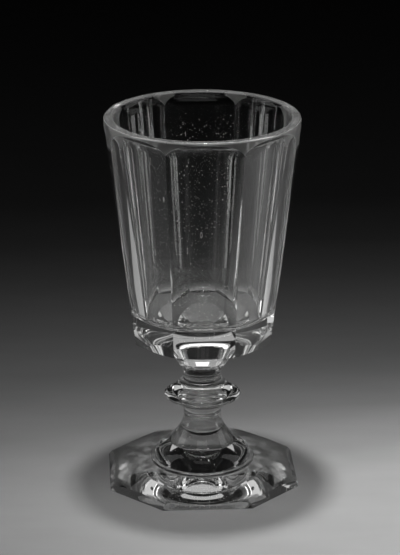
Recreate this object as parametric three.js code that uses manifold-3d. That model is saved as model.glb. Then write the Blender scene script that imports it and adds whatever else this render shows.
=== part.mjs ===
// Faceted glass goblet: an eight-sided cut bowl on a knopped stem and an octagonal cut foot.
// Millimetres, +Z up, origin on the table under the middle of the foot, -Y towards the viewer.
// The glass is worked as five gathers fused end to end, so each is one solid and they meet on
// flat discs square to the axis: foot, lower_stem, ring_knop, merese, bowl.
import * as THREE from 'three';
import { mergeVertices } from 'three/addons/utils/BufferGeometryUtils.js';
import Module from 'manifold-3d';

const wasm = await Module();
wasm.setup();

// Heights of the fused joints above the table
const footJointHeight = 6.2;
const lowerNeckJointHeight = 29.6;
const upperNeckJointHeight = 42.0;
const bowlJointHeight = 55.3;

// Radii at the fused joints; the two gathers that meet there share the value
const footRingRadius = 20.9;
const lowerNeckRadius = 7.35;
const upperNeckRadius = 7.35;
const bowlJointRadius = 15.8;

// Bowl blank, before the panels are cut
const rimHeight = 150;
const rimRadius = 38.2;
const lipWall = 3.9;
const lipOuterRounding = 1.0;
const lipInnerRounding = 1.4;
const bowlEdgeHeight = 60;
const bowlFloorHeight = 69.6;
const floorRadius = 25.2;
const floorRounding = 3.6;
const floorRise = 1.6;

// Panels cut round the bowl. A reach is the distance from the axis to the middle of a flat, at its
// shoulder under the lip and at its bottom edge; the cut depth is what the shoulder lies inside the
// rim. The cutting is by hand: the panels at the two sides lean out more than the front and back
// ones, and the four between differ a little again. The row of shoulders is tilted too, highest at
// the back.
const panelCount = 8;
const panelTurn = THREE.MathUtils.degToRad(1.6);
const frontCutDepth = 3.15;
const frontReachTop = rimRadius - frontCutDepth;
const frontReachEdge = 26.8;
const sideCutDepth = 0.8;
const sideReachTop = rimRadius - sideCutDepth;
const sideReachEdge = 26.5;
const betweenCutDepth = 2.9;
const betweenReachTop = rimRadius - betweenCutDepth;
const betweenReachEdge = 27.3;
const panelShoulderHeight = 145.4;
const panelShoulderTilt = 0.25;
const coveRadius = 8.8;
const coveDrop = 2.85;
const cornerCover = 0.15;
const stoneOverrun = 1;

// Foot
const footCorners = 8;
const footTurn = THREE.MathUtils.degToRad(3.2);
const footCornerRadius = 41.6;
const footMainSideHalfAngle = THREE.MathUtils.degToRad(25.2);
const footEdgeHeight = 1.7;
const footEdgeLean = 1.4;
const pontilRadius = 14.4;
const pontilDepth = 1.5;

// Knop and domed lower stem
const knopRadius = 15.2;
const knopRimHeight = 34.3;
const domeRadius = 19.4;
const domeFootHeight = 7.3;
const domeShoulderHeight = 14.2;
const domeShoulderRadius = 13.4;
const waistHeight = 26.4;
const beadRise = 0.25;
const beadHeight = 1.2;

// How finely round forms are cut into flat faces
const bowlSegments = 88;
const stemSegments = 60;
const curveSteps = 5;

const glass = (color) => new THREE.MeshStandardMaterial({
  color,
  roughness: 0.02,
  metalness: 0,
  transparent: true,
  opacity: 0.35,
});

// The value that lies a share of the way from one value to another
const along = (from, to, share) => from + share * (to - from);

// Turns a path of (radius, height) points that starts and ends on the axis into a round solid.
function revolve(path, segments) {
  const geometry = new THREE.LatheGeometry(path.getPoints(curveSteps), segments);
  geometry.rotateX(Math.PI / 2);
  return toSolid(geometry);
}

function toSolid(geometry) {
  const bare = geometry.clone();
  bare.deleteAttribute('normal');
  bare.deleteAttribute('uv');
  const merged = mergeVertices(bare, 1e-4);
  return new wasm.Manifold(new wasm.Mesh({
    numProp: 3,
    vertProperties: new Float32Array(merged.attributes.position.array),
    triVerts: new Uint32Array(merged.index.array),
  }));
}

function toMesh(solid, name, color) {
  const cut = solid.getMesh();
  const geometry = new THREE.BufferGeometry();
  geometry.setAttribute('position', new THREE.BufferAttribute(cut.vertProperties, 3));
  geometry.setIndex(new THREE.BufferAttribute(cut.triVerts, 1));
  geometry.computeVertexNormals();
  const mesh = new THREE.Mesh(geometry, glass(color));
  mesh.name = name;
  return mesh;
}

// Radius of the blank at the bottom edge: a little more than the corner where two panels meet
// there, so that the corners come out sharp.
const blankEdgeRadius = betweenReachEdge / Math.cos(Math.PI / panelCount) + cornerCover;

// The uncut bowl: thick floor pushed up a little in the middle, tapered wall, round lip, and a cone
// underneath that runs in to the merese. The wall reaches its full radius where the lowest of the
// coves starts.
function bowlBlank() {
  const innerRimRadius = rimRadius - lipWall;
  const flatRadius = floorRadius - floorRounding;
  const path = new THREE.Path();
  path.moveTo(0, bowlJointHeight);
  path.lineTo(bowlJointRadius, bowlJointHeight);
  path.lineTo(blankEdgeRadius, bowlEdgeHeight);
  path.lineTo(rimRadius, panelShoulderHeight - panelShoulderTilt - coveDrop);
  path.lineTo(rimRadius, rimHeight - lipOuterRounding);
  path.quadraticCurveTo(rimRadius, rimHeight, rimRadius - lipOuterRounding, rimHeight);
  path.lineTo(innerRimRadius + lipInnerRounding, rimHeight);
  path.quadraticCurveTo(innerRimRadius, rimHeight, innerRimRadius, rimHeight - lipInnerRounding);
  path.lineTo(floorRadius, bowlFloorHeight + floorRounding);
  path.quadraticCurveTo(floorRadius, bowlFloorHeight, flatRadius, bowlFloorHeight);
  path.bezierCurveTo(0.6 * flatRadius, bowlFloorHeight, 0.35 * flatRadius, bowlFloorHeight + floorRise,
    0, bowlFloorHeight + floorRise);
  return revolve(path, bowlSegments);
}

// The stone takes away everything outside one panel: a flat that leans with the bowl. It leaves the
// glass through a cove that starts a little below the shoulder, which gives the panel its arched
// top. The stone's outer side stands a whole rim radius off the flat, past both rim and cove.
function panelStone(reachTop, reachEdge, shoulderHeight) {
  const lean = (reachTop - reachEdge) / (shoulderHeight - bowlEdgeHeight);
  const below = bowlJointHeight - stoneOverrun;
  const clear = reachTop + rimRadius;
  const coveReach = reachTop - lean * coveDrop;
  const coveStart = shoulderHeight - coveDrop;
  const coveTop = coveStart + coveRadius;
  const profile = new THREE.Shape();
  profile.moveTo(reachEdge - lean * (bowlEdgeHeight - below), below);
  profile.lineTo(coveReach, coveStart);
  profile.absarc(coveReach + coveRadius, coveStart, coveRadius, Math.PI, Math.PI / 2, true);
  profile.lineTo(clear, coveTop);
  profile.lineTo(clear, below);
  profile.closePath();
  const width = rimRadius;
  const stone = new THREE.ExtrudeGeometry(profile, {
    depth: width,
    bevelEnabled: false,
    curveSegments: 2 * curveSteps,
  });
  stone.translate(0, 0, -width / 2);
  stone.rotateX(Math.PI / 2);
  return stone;
}

// Panel 0 faces the viewer and the rest follow counterclockwise, seen from above.
function stoneForPanel(index) {
  const towardsFront = Math.cos((index * 2 * Math.PI) / panelCount);
  const shoulderHeight = panelShoulderHeight - panelShoulderTilt * towardsFront;
  if (index % 2 === 1) return panelStone(betweenReachTop, betweenReachEdge, shoulderHeight);
  if (index % 4 === 0) return panelStone(frontReachTop, frontReachEdge, shoulderHeight);
  return panelStone(sideReachTop, sideReachEdge, shoulderHeight);
}

function makeBowl() {
  let solid = bowlBlank();
  for (let i = 0; i < panelCount; i += 1) {
    const stone = stoneForPanel(i);
    stone.rotateZ(panelTurn - Math.PI / 2 + (i * 2 * Math.PI) / panelCount);
    solid = solid.subtract(toSolid(stone));
  }
  return toMesh(solid, 'bowl', 0xdfe3e2);
}

// Flared collar under the bowl. It opens from a small rolled bead at the upper neck and meets the
// bowl's underside on a wide disc.
function makeMerese() {
  const beadTop = upperNeckJointHeight + beadHeight;
  const path = new THREE.Path();
  path.moveTo(0, upperNeckJointHeight);
  path.lineTo(upperNeckRadius, upperNeckJointHeight);
  path.quadraticCurveTo(upperNeckRadius + 2 * beadRise, (upperNeckJointHeight + beadTop) / 2,
    upperNeckRadius, beadTop);
  path.bezierCurveTo(
    along(upperNeckRadius, bowlJointRadius, 0.15), along(beadTop, bowlJointHeight, 0.31),
    along(upperNeckRadius, bowlJointRadius, 0.5), along(beadTop, bowlJointHeight, 0.6),
    bowlJointRadius, bowlJointHeight,
  );
  path.lineTo(0, bowlJointHeight);
  return toMesh(revolve(path, stemSegments), 'merese', 0xd9dddc);
}

// Ring knop: a full rounded shoulder above and a thinner, sharper lip below.
function makeRingKnop() {
  const beadBottom = upperNeckJointHeight - beadHeight;
  const path = new THREE.Path();
  path.moveTo(0, lowerNeckJointHeight);
  path.lineTo(lowerNeckRadius, lowerNeckJointHeight);
  path.bezierCurveTo(
    along(lowerNeckRadius, knopRadius, 0.1), lowerNeckJointHeight,
    knopRadius, along(lowerNeckJointHeight, knopRimHeight, 0.7),
    knopRadius, knopRimHeight,
  );
  path.bezierCurveTo(
    along(upperNeckRadius, knopRadius, 0.68), along(knopRimHeight, beadBottom, 0.06),
    along(upperNeckRadius, knopRadius, 0.17), beadBottom,
    upperNeckRadius + beadRise, beadBottom,
  );
  path.lineTo(upperNeckRadius, upperNeckJointHeight);
  path.lineTo(0, upperNeckJointHeight);
  return toMesh(revolve(path, stemSegments), 'ring_knop', 0xd9dddc);
}

// Neck, trumpet and dome in one gather, standing on a thin turned ring.
function makeLowerStem() {
  const path = new THREE.Path();
  path.moveTo(0, footJointHeight);
  path.lineTo(footRingRadius, footJointHeight);
  path.quadraticCurveTo(footRingRadius + beadRise, (footJointHeight + domeFootHeight) / 2,
    footRingRadius - beadRise, domeFootHeight);
  path.lineTo(domeRadius, domeFootHeight);
  path.bezierCurveTo(
    along(domeRadius, domeShoulderRadius, 0.1), along(domeFootHeight, domeShoulderHeight, 0.47),
    along(domeRadius, domeShoulderRadius, 0.4), along(domeFootHeight, domeShoulderHeight, 0.74),
    domeShoulderRadius, domeShoulderHeight,
  );
  path.bezierCurveTo(
    along(domeShoulderRadius, lowerNeckRadius, 0.29), along(domeShoulderHeight, waistHeight, 0.21),
    lowerNeckRadius - 2 * beadRise, along(domeShoulderHeight, waistHeight, 0.6),
    lowerNeckRadius + beadRise, waistHeight,
  );
  path.quadraticCurveTo(lowerNeckRadius - beadRise, waistHeight + beadHeight,
    lowerNeckRadius, waistHeight + 2 * beadHeight);
  path.lineTo(lowerNeckRadius, lowerNeckJointHeight);
  path.lineTo(0, lowerNeckJointHeight);
  return toMesh(revolve(path, stemSegments), 'lower_stem', 0xd9dddc);
}

// Foot: a round plate that falls away from the ring, cut to eight sides by hand. The four main
// sides are wider than the four between them. The pontil scar is ground out to a shallow hollow.
function footBlank() {
  const bulge = (pontilRadius ** 2 - pontilDepth ** 2) / (2 * pontilDepth);
  const capRadius = bulge + pontilDepth;
  const path = new THREE.Path();
  path.moveTo(0, pontilDepth);
  path.absarc(0, pontilDepth - capRadius, capRadius, Math.PI / 2, Math.asin(bulge / capRadius), true);
  path.lineTo(footCornerRadius, 0);
  path.lineTo(footCornerRadius, footEdgeHeight);
  path.bezierCurveTo(
    along(footCornerRadius, footRingRadius, 0.39), along(footEdgeHeight, footJointHeight, 0.34),
    along(footCornerRadius, footRingRadius, 0.71), along(footEdgeHeight, footJointHeight, 0.84),
    footRingRadius, footJointHeight,
  );
  path.lineTo(0, footJointHeight);
  return revolve(path, bowlSegments);
}

function footOutline() {
  const outline = [];
  for (let i = 0; i < footCorners; i += 1) {
    const side = Math.floor(i / 2) * (Math.PI / 2);
    const half = i % 2 === 0 ? -footMainSideHalfAngle : footMainSideHalfAngle;
    outline.push(footTurn - Math.PI / 2 + side + half);
  }
  return outline;
}

// Eight-sided block whose sides lean in by footEdgeLean over the height of the foot's edge.
function footBlock() {
  const height = footJointHeight + stoneOverrun;
  const shape = new THREE.Shape(footOutline().map((angle) => new THREE.Vector2(
    footCornerRadius * Math.cos(angle),
    footCornerRadius * Math.sin(angle),
  )));
  const block = new THREE.ExtrudeGeometry(shape, { depth: height, bevelEnabled: false });
  const position = block.attributes.position;
  const leanPerHeight = footEdgeLean / footEdgeHeight;
  for (let i = 0; i < position.count; i += 1) {
    const shrink = 1 - (leanPerHeight * position.getZ(i)) / footCornerRadius;
    position.setX(i, position.getX(i) * shrink);
    position.setY(i, position.getY(i) * shrink);
  }
  return block;
}

function makeFoot() {
  const solid = footBlank().intersect(toSolid(footBlock()));
  return toMesh(solid, 'foot', 0xd5d9d8);
}

const goblet = new THREE.Group();
goblet.add(makeFoot(), makeLowerStem(), makeRingKnop(), makeMerese(), makeBowl());

export default goblet;
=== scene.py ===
# %% [markdown]
# A cut glass goblet, dressed for a studio picture.
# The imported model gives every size. This lesson remakes each piece of glass as a fine, smooth
# mesh in the same place, gives it a clear glass finish with the small flaws of old hand work,
# and stands it on a pale sheet among soft cards and one small lamp.

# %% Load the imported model
import math
import bmesh
import bpy
from mathutils import Matrix, Vector
from mathutils.geometry import interpolate_bezier


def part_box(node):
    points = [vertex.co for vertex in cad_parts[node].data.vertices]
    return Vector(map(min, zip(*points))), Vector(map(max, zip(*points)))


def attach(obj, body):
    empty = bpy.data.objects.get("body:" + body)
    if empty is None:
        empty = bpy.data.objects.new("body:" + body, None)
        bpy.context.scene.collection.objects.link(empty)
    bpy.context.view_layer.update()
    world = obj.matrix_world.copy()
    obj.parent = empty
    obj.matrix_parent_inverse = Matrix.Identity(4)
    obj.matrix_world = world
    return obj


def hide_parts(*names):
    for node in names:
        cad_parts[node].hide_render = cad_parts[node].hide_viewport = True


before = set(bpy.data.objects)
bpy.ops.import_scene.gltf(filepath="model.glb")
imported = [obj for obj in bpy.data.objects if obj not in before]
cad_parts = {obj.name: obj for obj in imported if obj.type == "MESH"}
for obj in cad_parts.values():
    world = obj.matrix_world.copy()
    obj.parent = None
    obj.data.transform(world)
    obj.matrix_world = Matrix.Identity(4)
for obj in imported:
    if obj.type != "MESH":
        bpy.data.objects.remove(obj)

MM = 0.001
scene = bpy.context.scene
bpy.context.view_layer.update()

# %% [markdown]
# The camera comes first, because everything else is judged through it. The photograph looks down
# on the goblet from a little less than a metre away with a long lens. The camera has no depth of
# field and no shift: the goblet is centred by turning the camera, as a photographer would.

# %% Camera
PHOTO_HEIGHT_PX = 555
FOCAL_PX = 2400
SENSOR_LONG_SIDE_MM = 36
CAMERA_PLACE = (-0.915 * MM, -892.985 * MM, 406.162 * MM)
CAMERA_PITCH = 0.34691

lens = bpy.data.cameras.new("camera")
lens.sensor_width = SENSOR_LONG_SIDE_MM
lens.lens = FOCAL_PX / PHOTO_HEIGHT_PX * SENSOR_LONG_SIDE_MM
camera = bpy.data.objects.new("camera", lens)
camera.location = CAMERA_PLACE
camera.rotation_euler = (math.pi / 2 - CAMERA_PITCH, 0, 0)
scene.collection.objects.link(camera)
scene.camera = camera
print("lens, mm:", round(lens.lens, 1))

# %% [markdown]
# The heights where one gather of glass was fused to the next, and the rim, are read from the
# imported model, so the fine meshes meet exactly where the solids do. The other sizes are those of
# the same profiles, in millimetres.

# %% Heights and radii that several pieces share
foot_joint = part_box("foot")[1].z
lower_neck_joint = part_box("lower_stem")[1].z
upper_neck_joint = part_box("ring_knop")[1].z
bowl_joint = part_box("merese")[1].z
rim_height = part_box("bowl")[1].z
rim_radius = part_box("bowl")[1].x
bowl_joint_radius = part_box("merese")[1].x
ring_radius = 20.9 * MM
neck_radius = 7.35 * MM
bead_rise = 0.25 * MM
bead_height = 1.2 * MM
print("joint heights, mm:", [round(h / MM, 1) for h in
      (foot_joint, lower_neck_joint, upper_neck_joint, bowl_joint, rim_height)])

# %% [markdown]
# Most of the goblet is round, so one helper draws half a profile and spins it about the stem's
# axis. A profile could be drawn with many points; a few points joined by straight lines and
# Bezier curves hold the same shape and stay easy to change. The bare shares between 0 and 1 in a
# profile place the handles of its curves between two named sizes.

# %% Profiles
CURVE_POINTS = 22
ROUNDING_HANDLE_SHARE = 0.55


def along(start, end, share):
    return start + share * (end - start)


def at(radius, height):
    return Vector((radius, 0, height))


def profile(start, *steps):
    """Points from start. A step is one point, or (handle, handle, point) for a curve."""
    points = [start]
    for step in steps:
        if isinstance(step, Vector):
            points.append(step)
        else:
            curve = interpolate_bezier(points[-1], *step, CURVE_POINTS)
            points.extend(curve[1:])
    return points


def rounding(corner, before, after):
    """A step that rounds a corner with a curve from the point before to the point after."""
    leaving = along(before, corner, ROUNDING_HANDLE_SHARE)
    arriving = along(after, corner, ROUNDING_HANDLE_SHARE)
    return (leaving, arriving, after)


# %% [markdown]
# A spin leaves doubled points on the axis and may turn the shell inside out, so the doubles are
# merged first and the faces are turned outwards after that.

# %% Spinning a profile
SPIN_STEPS = 256
MERGE_DISTANCE = 0.0005 * MM


def spin(points, steps=SPIN_STEPS):
    mesh = bmesh.new()
    corners = [mesh.verts.new(p) for p in points]
    edges = [mesh.edges.new(pair) for pair in zip(corners, corners[1:])]
    bmesh.ops.spin(mesh, geom=corners + edges, cent=(0, 0, 0), axis=(0, 0, 1),
                   dvec=(0, 0, 0), angle=math.tau, steps=steps, use_merge=True)
    bmesh.ops.remove_doubles(mesh, verts=mesh.verts, dist=MERGE_DISTANCE)
    bmesh.ops.recalc_face_normals(mesh, faces=mesh.faces)
    return mesh


# %% [markdown]
# Each gather ends in a flat disc where it is fused to the next one. On the real goblet there is
# no surface there at all, so the discs get a second material that light passes straight through.
# Edges sharper than a few degrees stay crisp, and the rest is shaded smooth with the large flat
# faces leading, so that a cut panel is optically flat right up to its border.

# %% From a bmesh to a finished piece
SHARP_ANGLE = math.radians(14)
JOINT_TOLERANCE = 0.01 * MM
LEVEL_NORMAL = 0.999
LARGE_FACES_LEAD = 100


def mesh_object(mesh, name):
    data = bpy.data.meshes.new(name)
    mesh.to_mesh(data)
    mesh.free()
    made = bpy.data.objects.new(name, data)
    scene.collection.objects.link(made)
    return made


def is_joint(face, joint_heights):
    level = face.calc_center_median().z
    flat = abs(face.normal.z) > LEVEL_NORMAL
    return flat and any(abs(level - height) < JOINT_TOLERANCE for height in joint_heights)


def finish_piece(mesh, name, node, glass, joint_heights):
    for face in mesh.faces:
        face.smooth = True
        face.material_index = 1 if is_joint(face, joint_heights) else 0
    for edge in mesh.edges:
        edge.smooth = edge.calc_face_angle(0) < SHARP_ANGLE
    piece = mesh_object(mesh, name)
    piece.data.materials.append(glass)
    piece.data.materials.append(joint_finish)
    weighted = piece.modifiers.new("flat panels lead", "WEIGHTED_NORMAL")
    weighted.keep_sharp = True
    weighted.weight = LARGE_FACES_LEAD
    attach(piece, "root")
    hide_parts(node)
    print(name, "faces:", len(piece.data.polygons))
    return piece


# %% [markdown]
# Shader maths is easier to read as arithmetic than as a list of nodes. Signal wraps one output
# socket, and each operator adds the Math node that does the sum.

# %% Signals
class Signal:
    def __init__(self, finish, socket):
        self.finish = finish
        self.socket = socket

    def math(self, operation, *others):
        made = self.finish.node("Math", {"operation": operation}, dict(enumerate((self, *others))))
        return Signal(self.finish, made.outputs[0])

    def __add__(self, other):
        return self.math("ADD", other)

    def __sub__(self, other):
        return self.math("SUBTRACT", other)

    def __mul__(self, other):
        return self.math("MULTIPLY", other)

    def __rsub__(self, other):
        return (self * -1.0) + other

    __radd__ = __add__
    __rmul__ = __mul__

    def __gt__(self, other):
        return self.math("GREATER_THAN", other)

    def __lt__(self, other):
        return self.math("LESS_THAN", other)


# %% [markdown]
# A Finish is one material under construction. Its node method adds any node, with the node's
# settings first and the values or links of its sockets after them.

# %% Finishes
class Finish:
    def __init__(self, name):
        self.material = bpy.data.materials.new(name)
        self.material.use_nodes = True
        self.tree = self.material.node_tree
        self.tree.nodes.clear()
        self.place = self.node("TexCoord").outputs["Object"]

    def node(self, kind, settings=(), inputs=()):
        made = self.tree.nodes.new("ShaderNode" + kind)
        for key, value in dict(settings).items():
            if key == "stops":
                self.fill_ramp(made.color_ramp, value)
            else:
                setattr(made, key, value)
        for key, value in dict(inputs).items():
            self.feed(made.inputs[key], value)
        return made

    def feed(self, socket, value):
        source = value.socket if isinstance(value, Signal) else value
        if isinstance(source, bpy.types.NodeSocket):
            self.tree.links.new(source, socket)
        else:
            socket.default_value = source

    def fill_ramp(self, ramp, stops):
        for extra in list(ramp.elements)[1:]:
            ramp.elements.remove(extra)
        for index, (position, level) in enumerate(stops):
            stop = ramp.elements[0] if index == 0 else ramp.elements.new(position)
            stop.position = position
            stop.color = (level, level, level, 1)

    def signal(self, kind, settings=(), inputs=()):
        return Signal(self, self.node(kind, settings, inputs).outputs[0])

    def noise(self, vector, per_metre, detail):
        inputs = {"Vector": vector, "Scale": per_metre, "Detail": detail}
        return self.signal("TexNoise", {}, inputs)

    def axes(self):
        """The x, y and z of the place on the piece, each as a signal."""
        spot = self.node("SeparateXYZ", {}, {0: self.place})
        return [Signal(self, output) for output in spot.outputs]

    def fade(self, value, low, high):
        """0 below low and 1 above high, with a smooth step between."""
        settings = {"interpolation_type": "SMOOTHSTEP"}
        inputs = {"Value": value, "From Min": low, "From Max": high}
        return self.signal("MapRange", settings, inputs)

    def surface(self, shader):
        self.node("OutputMaterial", {}, {"Surface": shader})
        return self.material


# %% [markdown]
# Where two gathers are fused, light must pass as if nothing were there: the joint finish is
# fully see-through, and has no glass of its own.

# %% Joint finish
joint = Finish("fused_joint")
joint_finish = joint.surface(joint.node("BsdfPrincipled", {}, {"Alpha": 0.0}).outputs[0])

# %% [markdown]
# Dust lies on the bowl as tiny specks of uneven size. A Voronoi texture gives one speck to each
# cell, and the cell's random colour gives the speck its size. The specks could cover the whole
# bowl, but on the side panels the glass stretches them into streaks, so they thin out there.

# %% Dust
DUST_CELLS_PER_METRE = 1050.0
SPECK_SIZE_SPREAD = 0.23
SPECK_SIZE_LOSS = 0.07
DUST_PATCHES_PER_METRE = 26.0
DUST_PATCH_BARE = 0.38
DUST_PATCH_FULL = 0.52
DUST_FULL_WITHIN = 9 * MM
DUST_FAINT_BEYOND = 14 * MM
DUST_LOSS_ASIDE = 0.85
DUST_TOP = 141 * MM


def dust_specks(finish):
    cells = finish.node("TexVoronoi", {}, {"Vector": finish.place, "Scale": DUST_CELLS_PER_METRE})
    chance = finish.signal("SeparateColor", {}, {0: cells.outputs["Color"]})
    speck_size = chance * SPECK_SIZE_SPREAD - SPECK_SIZE_LOSS
    specks = Signal(finish, cells.outputs["Distance"]) < speck_size
    patches = finish.noise(finish.place, DUST_PATCHES_PER_METRE, detail=3.0)
    covered = finish.fade(patches, DUST_PATCH_BARE, DUST_PATCH_FULL)
    across, _, height = finish.axes()
    aside = finish.fade(across.math("ABSOLUTE"), DUST_FULL_WITHIN, DUST_FAINT_BEYOND)
    return specks * covered * (1 - aside * DUST_LOSS_ASIDE) * (height < DUST_TOP)


# %% [markdown]
# Seeds are bubbles of air that were drawn long as the glass was worked. Only their outline
# shows, so a seed is the thin shell between two distances from the middle of a stretched cell.
# That outline is a painted highlight: the shell gets the dust's white, faintly glowing finish in
# place of the light that the bubble's wall catches.

# %% Seeds
SEED_STRETCH = (1.0, 1.0, 0.3)
SEED_CELLS_PER_METRE = 105.0
SEED_INSIDE = 0.038
SEED_OUTSIDE = 0.05
SEED_STRENGTH = 0.4


def painted_seed_outlines(finish):
    tall = finish.node("Mapping", {}, {"Vector": finish.place, "Scale": SEED_STRETCH})
    inputs = {"Vector": tall.outputs[0], "Scale": SEED_CELLS_PER_METRE}
    away = finish.signal("TexVoronoi", {}, inputs)
    return (away < SEED_OUTSIDE) * (away > SEED_INSIDE) * SEED_STRENGTH


# %% [markdown]
# Old hand-made glass is clear but never perfect, and under the gloss there is a slow ripple. One
# function makes the finish for every piece: clear rippled glass, dulled where a haze is given,
# with dust and the painted bright outlines of seeds on top. A speck of dust catches few of the
# renderer's light samples, so it has a faint painted glow, and the seeds' outlines share it.

# %% Glass finish
GLASS_IOR = 1.53
GLASS_TINT = (0.972, 0.975, 0.968, 1)
HAZE_COLOUR = (0.75, 0.75, 0.74, 1)
DUST_COLOUR = (0.95, 0.94, 0.92, 1)
DUST_GLOW = 0.25


def ripple(finish, height, per_metre):
    waves = finish.noise(finish.place, per_metre, detail=1.0)
    bump = {"Height": waves, "Strength": 1.0, "Distance": height}
    return finish.node("Bump", {}, bump).outputs[0]


def covered_by(finish, shader, mask, cover):
    return finish.node("MixShader", {}, {0: mask, 1: shader, 2: cover}).outputs[0]


def glass_finish(name, ripple_height, ripples_per_metre, dust=True, haze=None):
    finish = Finish(name)
    normal = ripple(finish, ripple_height, ripples_per_metre)
    shader = finish.node("BsdfPrincipled", {}, {
        "Base Color": GLASS_TINT, "Roughness": 0.0, "IOR": GLASS_IOR,
        "Transmission Weight": 1.0, "Normal": normal}).outputs[0]
    if haze:
        dull = finish.node("BsdfPrincipled", {}, {"Base Color": HAZE_COLOUR, "Roughness": 0.5})
        shader = covered_by(finish, shader, haze(finish), dull.outputs[0])
    if dust:
        # Dust white with a faint painted glow, also used for the painted seed outlines.
        white = finish.node("BsdfPrincipled", {}, {
            "Base Color": DUST_COLOUR, "Roughness": 0.7,
            "Emission Color": DUST_COLOUR, "Emission Strength": DUST_GLOW})
        mask = dust_specks(finish).math("MAXIMUM", painted_seed_outlines(finish))
        shader = covered_by(finish, shader, mask, white.outputs[0])
    return finish.surface(shader)


# %% [markdown]
# The band above the cut panels was never polished on the wheel. It keeps the skin of the hot
# glass, rubbed dull by long use, so it looks milky next to the cut panels. That band is the only
# part of the bowl that still has the blank's full radius, so the radius finds it. The top of the
# lip has a little of the same haze.

# %% Haze of the band and the lip
BAND_INNER = rim_radius - 0.35 * MM
BAND_OUTER = rim_radius - 0.1 * MM
LIP_LOW = rim_height - 0.7 * MM
LIP_HIGH = rim_height - 0.2 * MM
BAND_HAZE = 0.35
LIP_SHARE = 0.3
CLOUDS_PER_METRE = 90.0
CLOUD_CONTRAST = 1.2
CLOUD_LEAST = 0.4


def band_haze(finish):
    across, depth, height = finish.axes()
    radius = (across * across + depth * depth).math("SQRT")
    band = finish.fade(radius, BAND_INNER, BAND_OUTER)
    lip = finish.fade(height, LIP_LOW, LIP_HIGH)
    noise = finish.noise(finish.place, CLOUDS_PER_METRE, detail=4.0)
    clouds = noise * CLOUD_CONTRAST + CLOUD_LEAST
    return band.math("MAXIMUM", lip * LIP_SHARE) * clouds * BAND_HAZE


# %% Finishes of the goblet
bowl_glass = glass_finish("bowl_glass", ripple_height=0.005 * MM, ripples_per_metre=45.0,
                          haze=band_haze)
stem_glass = glass_finish("stem_glass", ripple_height=0.01 * MM, ripples_per_metre=60.0,
                          dust=False)
foot_glass = glass_finish("foot_glass", ripple_height=0.02 * MM, ripples_per_metre=50.0)
print("glass finishes:", [glass.name for glass in (bowl_glass, stem_glass, foot_glass)])

# %% [markdown]
# The bowl starts as a round blank with its full thickness of glass: a thick floor, a tapered wall
# and a round lip. It could be built panel by panel, but cutting the panels from the blank, as the
# glass cutter does, gives the arched tops and the webs between them without any guessing.

# %% Bowl sizes
lip_wall = 3.9 * MM
lip_outer_rounding = 1.0 * MM
lip_inner_rounding = 1.4 * MM
bowl_edge = 60 * MM
bowl_floor = 69.6 * MM
floor_rise = 1.6 * MM
inside_floor_radius = 25.2 * MM
floor_rounding = 3.6 * MM

# %% [markdown]
# A panel is set by how far from the axis its flat lies, at the shoulder under the lip and at the
# bowl's bottom edge. The front and back panels, the two side panels and the four between them
# were cut to different depths by hand, and the shoulder climbs a little towards the back.

# %% Panel sizes
PANELS = 8
PANEL_TURN = math.radians(1.6)
shoulder_middle = 145.4 * MM
shoulder_tilt = 0.25 * MM
cove = 8.8 * MM
cove_drop = 2.85 * MM
front_reach = (rim_radius - 3.15 * MM, 26.8 * MM)
side_reach = (rim_radius - 0.8 * MM, 26.5 * MM)
between_reach = (rim_radius - 2.9 * MM, 27.3 * MM)

# %% Bowl blank
BLANK_STEPS = 360
BLANK_ALLOWANCE = 0.15 * MM
flat_radius = inside_floor_radius - floor_rounding
blank_edge_radius = between_reach[1] / math.cos(math.pi / PANELS) + BLANK_ALLOWANCE
rim_outer = at(rim_radius, rim_height)
rim_inner = at(rim_radius - lip_wall, rim_height)
lip_outside = rim_outer - at(0, lip_outer_rounding)
lip_inside = rim_inner - at(0, lip_inner_rounding)
wall_foot = at(inside_floor_radius, bowl_floor + floor_rounding)
floor_corner = at(inside_floor_radius, bowl_floor)
floor_middle = at(0, bowl_floor + floor_rise)
blank = spin(profile(
    at(0, bowl_joint), at(bowl_joint_radius, bowl_joint), at(blank_edge_radius, bowl_edge),
    at(rim_radius, shoulder_middle - shoulder_tilt - cove_drop),
    lip_outside, rounding(rim_outer, lip_outside, rim_outer - at(lip_outer_rounding, 0)),
    rim_inner + at(lip_inner_rounding, 0),
    rounding(rim_inner, rim_inner + at(lip_inner_rounding, 0), lip_inside),
    wall_foot, rounding(floor_corner, wall_foot, at(flat_radius, bowl_floor)),
    (at(0.6 * flat_radius, bowl_floor), at(0.35 * flat_radius, floor_middle.z), floor_middle)),
    BLANK_STEPS)
print("blank faces:", len(blank.faces))

# %% [markdown]
# The cutting wheel takes away everything outside a leaning plane and runs out in a wide cove
# under the lip. The cutter is a block with its inner face leaned and one edge rounded, so the
# cove is the print of that rounded edge. Where cove and round blank meet, the panel gets its
# arched top.

# %% Panel cutters
CUTTER_CLEARANCE = 10 * MM
CUTTER_BELOW_BOWL = 1 * MM
COVE_SEGMENTS = 24


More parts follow.
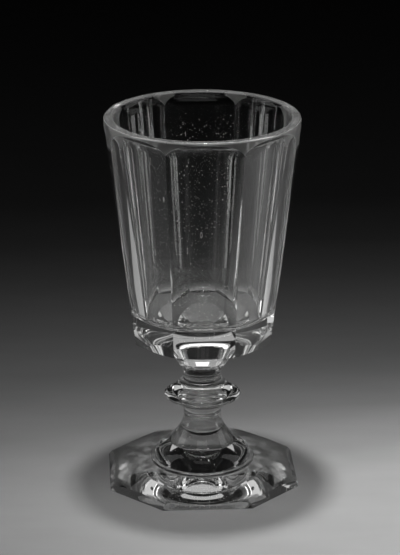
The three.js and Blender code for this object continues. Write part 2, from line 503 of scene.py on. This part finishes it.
def panel_cutter(turn, reach, shoulder):
    top, edge = reach
    lean = (top - edge) / (shoulder - bowl_edge)
    low = bowl_joint - CUTTER_BELOW_BOWL
    high = shoulder - cove_drop + cove
    block = bmesh.new()
    bmesh.ops.create_cube(block, size=1)
    outside = rim_radius + CUTTER_CLEARANCE
    for corner in block.verts:
        z = high if corner.co.z > 0 else low
        inner = edge + lean * (z - bowl_edge)
        x = outside if corner.co.x > 0 else inner
        corner.co = Vector((x, corner.co.y * rim_radius, z))
    half_way = Vector(((inner + outside) / 2, 0, (low + high) / 2))
    inner_top = [e for e in block.edges
                 if all(v.co.z > half_way.z and v.co.x < half_way.x for v in e.verts)]
    opening = math.pi / 2 + math.atan(lean)
    bmesh.ops.bevel(block, geom=inner_top, offset=cove / math.tan(opening / 2),
                    offset_type="ABSOLUTE", segments=COVE_SEGMENTS, profile=0.5,
                    affect="EDGES", material=-1)
    bmesh.ops.rotate(block, verts=block.verts, cent=(0, 0, 0),
                     matrix=Matrix.Rotation(turn, 3, "Z"))
    bmesh.ops.recalc_face_normals(block, faces=block.faces)
    return block


def panel_reach(index):
    if index % 2:
        return between_reach
    return side_reach if index % 4 else front_reach


def panel_shoulder(index):
    return shoulder_middle - shoulder_tilt * math.cos(index * math.tau / PANELS)


# %% [markdown]
# The eight cutters are taken from the blank one after the other with exact Booleans, which
# leave a closed mesh. The count of open edges shows whether it is.

# %% Cut the panels
def cut(piece, cutters):
    for cutter in cutters:
        step = piece.modifiers.new("cut", "BOOLEAN")
        step.operation = "DIFFERENCE"
        step.solver = "EXACT"
        step.object = cutter
    graph = bpy.context.evaluated_depsgraph_get()
    result = bmesh.new()
    result.from_mesh(piece.evaluated_get(graph).to_mesh())
    for used in (piece, *cutters):
        bpy.data.objects.remove(used)
    bmesh.ops.remove_doubles(result, verts=result.verts, dist=MERGE_DISTANCE)
    bmesh.ops.dissolve_degenerate(result, edges=result.edges, dist=MERGE_DISTANCE)
    return result


def open_edges(mesh):
    return sum(1 for edge in mesh.edges if not edge.is_manifold)


cutters = []
for index in range(PANELS):
    turn = PANEL_TURN - math.pi / 2 + index * math.tau / PANELS
    stone = panel_cutter(turn, panel_reach(index), panel_shoulder(index))
    cutters.append(mesh_object(stone, "cutter"))
bowl_mesh = cut(mesh_object(blank, "blank"), cutters)
print("bowl faces:", len(bowl_mesh.faces), "open edges:", open_edges(bowl_mesh))
bowl = finish_piece(bowl_mesh, "cut_bowl", "bowl", bowl_glass, [bowl_joint])

# %% [markdown]
# The collar under the bowl, the merese, flares from a rolled bead at the neck. It is a simple
# spin, and its top disc vanishes into the bowl's underside.

# %% Merese
bead_top = upper_neck_joint + bead_height
merese_mesh = spin(profile(
    at(0, upper_neck_joint), at(neck_radius, upper_neck_joint),
    (at(neck_radius + bead_rise * 1.3, upper_neck_joint + 0.33 * bead_height),
     at(neck_radius + bead_rise * 1.3, upper_neck_joint + 0.67 * bead_height),
     at(neck_radius, bead_top)),
    (at(along(neck_radius, bowl_joint_radius, 0.15), along(bead_top, bowl_joint, 0.31)),
     at(along(neck_radius, bowl_joint_radius, 0.5), along(bead_top, bowl_joint, 0.6)),
     at(bowl_joint_radius, bowl_joint)),
    at(0, bowl_joint)))
merese = finish_piece(merese_mesh, "flared_merese", "merese", stem_glass,
                      [upper_neck_joint, bowl_joint])

# %% [markdown]
# The ring knop is full and round above and draws in to a thin lip below, like a mushroom cap.

# %% Ring knop
knop_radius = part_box("ring_knop")[1].x
knop_rim = 34.3 * MM
bead_bottom = upper_neck_joint - bead_height
knop_mesh = spin(profile(
    at(0, lower_neck_joint), at(neck_radius, lower_neck_joint),
    (at(along(neck_radius, knop_radius, 0.1), lower_neck_joint),
     at(knop_radius, along(lower_neck_joint, knop_rim, 0.7)),
     at(knop_radius, knop_rim)),
    (at(along(neck_radius, knop_radius, 0.68), along(knop_rim, bead_bottom, 0.06)),
     at(along(neck_radius, knop_radius, 0.17), bead_bottom),
     at(neck_radius + bead_rise, bead_bottom)),
    at(neck_radius, upper_neck_joint), at(0, upper_neck_joint)))
knop = finish_piece(knop_mesh, "round_knop", "ring_knop", stem_glass,
                    [lower_neck_joint, upper_neck_joint])

# %% [markdown]
# The lower stem runs from the neck through a trumpet into a dome and stands on a thin turned
# ring. It is one gather on the real goblet, so it is one profile here.

# %% Lower stem
dome_radius = 19.4 * MM
dome_foot = 7.3 * MM
dome_shoulder = 14.2 * MM
dome_shoulder_radius = 13.4 * MM
waist = 26.4 * MM
stem_mesh = spin(profile(
    at(0, foot_joint), at(ring_radius, foot_joint),
    (at(ring_radius + bead_rise * 0.6, along(foot_joint, dome_foot, 0.4)),
     at(ring_radius + bead_rise * 0.2, along(foot_joint, dome_foot, 0.8)),
     at(ring_radius - bead_rise, dome_foot)),
    at(dome_radius, dome_foot),
    (at(along(dome_radius, dome_shoulder_radius, 0.1), along(dome_foot, dome_shoulder, 0.47)),
     at(along(dome_radius, dome_shoulder_radius, 0.4), along(dome_foot, dome_shoulder, 0.74)),
     at(dome_shoulder_radius, dome_shoulder)),
    (at(along(dome_shoulder_radius, neck_radius, 0.29), along(dome_shoulder, waist, 0.21)),
     at(neck_radius - 2 * bead_rise, along(dome_shoulder, waist, 0.6)),
     at(neck_radius + bead_rise, waist)),
    (at(neck_radius, waist + 0.7 * bead_height),
     at(neck_radius - bead_rise * 0.7, waist + 1.3 * bead_height),
     at(neck_radius, waist + 2 * bead_height)),
    at(neck_radius, lower_neck_joint), at(0, lower_neck_joint)))
lower_stem = finish_piece(stem_mesh, "domed_stem", "lower_stem", stem_glass,
                          [foot_joint, lower_neck_joint])

# %% [markdown]
# The foot is a round plate that falls away from the ring, ground to eight flats by hand. The
# plate is spun first and each flat is one bisecting plane, filled, as the grinding wheel leaves
# it. Underneath is the shallow hollow where the pontil mark was ground out.

# %% Foot plate
foot_corner_radius = 41.6 * MM
foot_edge = 1.7 * MM
pontil_radius = 14.4 * MM
pontil_depth = 1.5 * MM
foot_plate = spin(profile(
    at(0, pontil_depth),
    (at(0.35 * pontil_radius, pontil_depth),
     at(0.75 * pontil_radius, 0.45 * pontil_depth),
     at(pontil_radius, 0)),
    at(foot_corner_radius, 0), at(foot_corner_radius, foot_edge),
    (at(along(foot_corner_radius, ring_radius, 0.39), along(foot_edge, foot_joint, 0.34)),
     at(along(foot_corner_radius, ring_radius, 0.71), along(foot_edge, foot_joint, 0.84)),
     at(ring_radius, foot_joint)),
    at(0, foot_joint)))

# %% [markdown]
# Four long flats and four short ones take turns round the foot. Every corner between them lies
# on one circle, so a flat's distance from the axis follows from half the angle that it spans.

# %% Grind the flats
FOOT_TURN = math.radians(3.2)
LONG_FLAT_HALF_ANGLE = math.radians(25.2)
foot_edge_lean = 1.4 * MM


def grind_flat(mesh, turn, half_angle):
    reach = foot_corner_radius * math.cos(half_angle)
    lean = foot_edge_lean / foot_edge * math.cos(half_angle)
    outward = Vector((math.cos(turn), math.sin(turn), lean)).normalized()
    on_flat = Vector((math.cos(turn), math.sin(turn), 0)) * reach
    everything = mesh.verts[:] + mesh.edges[:] + mesh.faces[:]
    cut_away = bmesh.ops.bisect_plane(mesh, geom=everything, plane_co=on_flat, plane_no=outward,
                                      clear_outer=True)
    border = [e for e in cut_away["geom_cut"] if isinstance(e, bmesh.types.BMEdge)]
    bmesh.ops.edgeloop_fill(mesh, edges=border)


for quarter in range(4):
    long_turn = FOOT_TURN - math.pi / 2 + quarter * math.pi / 2
    grind_flat(foot_plate, long_turn, LONG_FLAT_HALF_ANGLE)
    grind_flat(foot_plate, long_turn + math.pi / 4, math.pi / 4 - LONG_FLAT_HALF_ANGLE)
bmesh.ops.recalc_face_normals(foot_plate, faces=foot_plate.faces)
print("foot open edges:", open_edges(foot_plate))
foot = finish_piece(foot_plate, "cut_foot", "foot", foot_glass, [foot_joint])

# %% [markdown]
# Every new piece takes its finish from one of the glass finishes above.

# %% [markdown]
# The sheet under the goblet is pale around it and runs back into shade. Both the pale pool and
# the shade behind are painted into the sheet's colour, not cast by the lamps. Clear glass shows by
# what it bends, so this painted fall from pale to dark is what draws the panels. One ramp gives
# the painted shade by the distance in metres from a point to the right of the goblet and a little
# in front. The distance is shortened sideways, which makes the pale patch wide, and faint streaks
# in the same direction give the paper its grain.

# %% Painted light and shade of the sheet
FADE_CENTRE = (0.1, -0.06, 0)
SIDE_STRETCH = 0.3
SHEET_SHADES = [(0.0, 0.56), (0.075, 0.54), (0.1, 0.47), (0.118, 0.34), (0.134, 0.27),
                (0.153, 0.173), (0.182, 0.11), (0.2, 0.083), (0.24, 0.057), (0.27, 0.042),
                (0.31, 0.026), (0.36, 0.014), (0.43, 0.008), (1.0, 0.006)]
STREAKS_PER_METRE = 70.0
STREAK_CONTRAST = 0.16

sheet = Finish("sheet_with_painted_light")
stretch = {"Vector": sheet.place, "Scale": (SIDE_STRETCH, 1, 1)}
stretched = sheet.node("Mapping", {}, stretch).outputs[0]
from_centre = sheet.node("VectorMath", {"operation": "DISTANCE"}, {0: stretched, 1: FADE_CENTRE})
# The ramp's stops are painted shade: pale near the goblet, dark far behind it.
shade = sheet.signal("ValToRGB", {"stops": SHEET_SHADES}, {0: from_centre.outputs["Value"]})
streaks = sheet.noise(stretched, STREAKS_PER_METRE, detail=5.0)
# Painted light and shade, times the paper's grain.
painted_shade_and_grain = shade * (streaks * STREAK_CONTRAST + (1 - STREAK_CONTRAST / 2))

# %% [markdown]
# The goblet gathers the lamp's light into bright rings on the sheet under the foot, and lets
# some light through everywhere in its shadow. The path tracer hardly finds such light, so the
# sheet glows a little there instead. The two rings are broken up by noise. They are fainter
# behind, because the lamp hangs a little behind the stem and throws its light forward.

# %% Gathered light on the sheet
GLOW_RINGS = [(0.0, 0.0), (0.014, 0.04), (0.019, 0.18), (0.022, 0.65), (0.026, 0.16),
              (0.029, 0.08), (0.031, 0.26), (0.033, 0.05), (0.037, 0.0)]
SPARKLES_PER_METRE = 190.0
SPARKLE_DARK = 0.42
SPARKLE_BRIGHT = 0.62
SPARKLE_GAIN = 1.3
RING_LEAST = 0.25
FORWARD_STARTS = -6 * MM
FORWARD_FULL = 34 * MM
FORWARD_GAIN = 0.75
BEHIND_SHARE = 0.25

from_stem = sheet.node("VectorMath", {"operation": "LENGTH"}, {0: sheet.place})
rings = sheet.signal("ValToRGB", {"stops": GLOW_RINGS}, {0: from_stem.outputs["Value"]})
specks = sheet.noise(sheet.place, SPARKLES_PER_METRE, detail=2.0)
sparkle = sheet.fade(specks, SPARKLE_DARK, SPARKLE_BRIGHT)
broken_rings = rings * (sparkle * SPARKLE_GAIN + RING_LEAST)
in_front = sheet.axes()[1] * -1.0
forward = sheet.fade(in_front, FORWARD_STARTS, FORWARD_FULL)

# %% Light let through in the shadow
SHADOW_MIDDLE = (0, -10 * MM, 0)
SHADOW_FULL_WITHIN = 47 * MM
SHADOW_ENDS_AT = 57 * MM
LIGHT_LET_THROUGH = 0.065

ends = {0: sheet.place, 1: SHADOW_MIDDLE}
from_middle = sheet.node("VectorMath", {"operation": "DISTANCE"}, ends)
outside_shadow = sheet.fade(from_middle.outputs["Value"], SHADOW_FULL_WITHIN, SHADOW_ENDS_AT)
let_through = (1 - outside_shadow) * LIGHT_LET_THROUGH
glow = (broken_rings + let_through) * (forward * FORWARD_GAIN + BEHIND_SHARE)

# %% [markdown]
# The sheet lies a hair's breadth below the foot, so that the two surfaces don't fight.

# %% Sheet
SHEET_HALF_SIDE = 4.0
AIR_GAP = 0.15 * MM

# The sheet's colour holds painted light and shade, and its emission is painted light from the
# goblet.
paper = sheet.node("BsdfPrincipled", {}, {
    "Base Color": painted_shade_and_grain, "Roughness": 0.85, "Specular IOR Level": 0.0,
    "Emission Color": glow, "Emission Strength": 1.0})
sheet_finish = sheet.surface(paper.outputs[0])
floor_mesh = bmesh.new()
bmesh.ops.create_grid(floor_mesh, x_segments=1, y_segments=1, size=SHEET_HALF_SIDE,
                      matrix=Matrix.Translation((0, 0, -AIR_GAP)))
floor = mesh_object(floor_mesh, "floor")
floor.data.materials.append(sheet_finish)
print("nodes in the sheet's finish:", len(sheet.tree.nodes))

# %% [markdown]
# Clear glass shows only what it mirrors and bends, so the lights are set by where their images
# fall. On each side a tall card draws the long bright lines in the panels, a small low card
# doubles them at the panels' corners, and a card that lies flat beside the goblet lifts the
# outer panels. Powers are in watts and places in metres.

# %% Side cards
def soft_light(name, place, target, width, height, power):
    lamp = bpy.data.lights.new(name, "AREA")
    lamp.shape = "RECTANGLE"
    lamp.size = width
    lamp.size_y = height
    lamp.energy = power
    made = bpy.data.objects.new(name, lamp)
    made.location = place
    made.rotation_euler = (Vector(target) - Vector(place)).to_track_quat("-Z", "Y").to_euler()
    made.visible_camera = False
    scene.collection.objects.link(made)


for side, sign in (("left", -1), ("right", 1)):
    soft_light(side + "_tall_card", place=(sign * 0.4, 0.02, 0.4), target=(0, 0.02, 0.4),
               width=0.2, height=0.6, power=0.23)
    soft_light(side + "_low_card", place=(sign * 0.4, -0.02, 0.07), target=(0, -0.02, 0.07),
               width=0.1, height=0.12, power=0.09)
    soft_light(side + "_flat_card", place=(sign * 0.25, 0.02, 0.004),
               target=(sign * 0.25, 0.02, 1), width=0.25, height=0.25, power=0.048)

# %% [markdown]
# One small lamp above the goblet casts its clear shadow. The wide card over it lights the thick
# base, the knop and the foot from above, and the brighter glow under its middle gives the
# merese its white patch. A thin card high at the back draws the bright bands in the foot, and
# one high in front fills the front.

# %% Lamp and cards above
soft_light("top_lamp", place=(0, 0.03, 0.565), target=(0, 0, 0),
           width=0.03, height=0.03, power=2.0)
soft_light("front_fill", place=(0, -0.55, 0.9), target=(0, 0, 0.1),
           width=0.6, height=0.35, power=0.24)
soft_light("overhead_card", place=(0, 0.1, 0.95), target=(0, 0, 0.1),
           width=0.8, height=0.8, power=0.75)
soft_light("top_glow", place=(0, 0.03, 0.93), target=(0, 0, 0.1),
           width=0.3, height=0.5, power=0.5)
soft_light("back_card", place=(0, 0.85, 0.85), target=(0, 0, 0.1),
           width=0.9, height=0.2, power=0.26)
print("lights:", len(bpy.data.lights))

# %% [markdown]
# The world is almost black, as a dark studio is. The little that is left of it keeps the far
# end of the sheet and the glass in front of it from going quite black.

# %% World
WORLD_LEVEL = 0.005
world = bpy.data.worlds.new("studio")
world.use_nodes = True
world.node_tree.nodes["Background"].inputs["Color"].default_value = (WORLD_LEVEL,) * 3 + (1,)
scene.world = world

# %% [markdown]
# Light crosses many walls of glass before it leaves the goblet, so the paths get more bounces
# than the default. The view transform is Standard, which shows colours about as written.

# %% Paths and view
scene.cycles.max_bounces = 32
scene.cycles.transmission_bounces = 24
scene.cycles.transparent_max_bounces = 24
scene.cycles.glossy_bounces = 12
scene.view_settings.view_transform = "Standard"
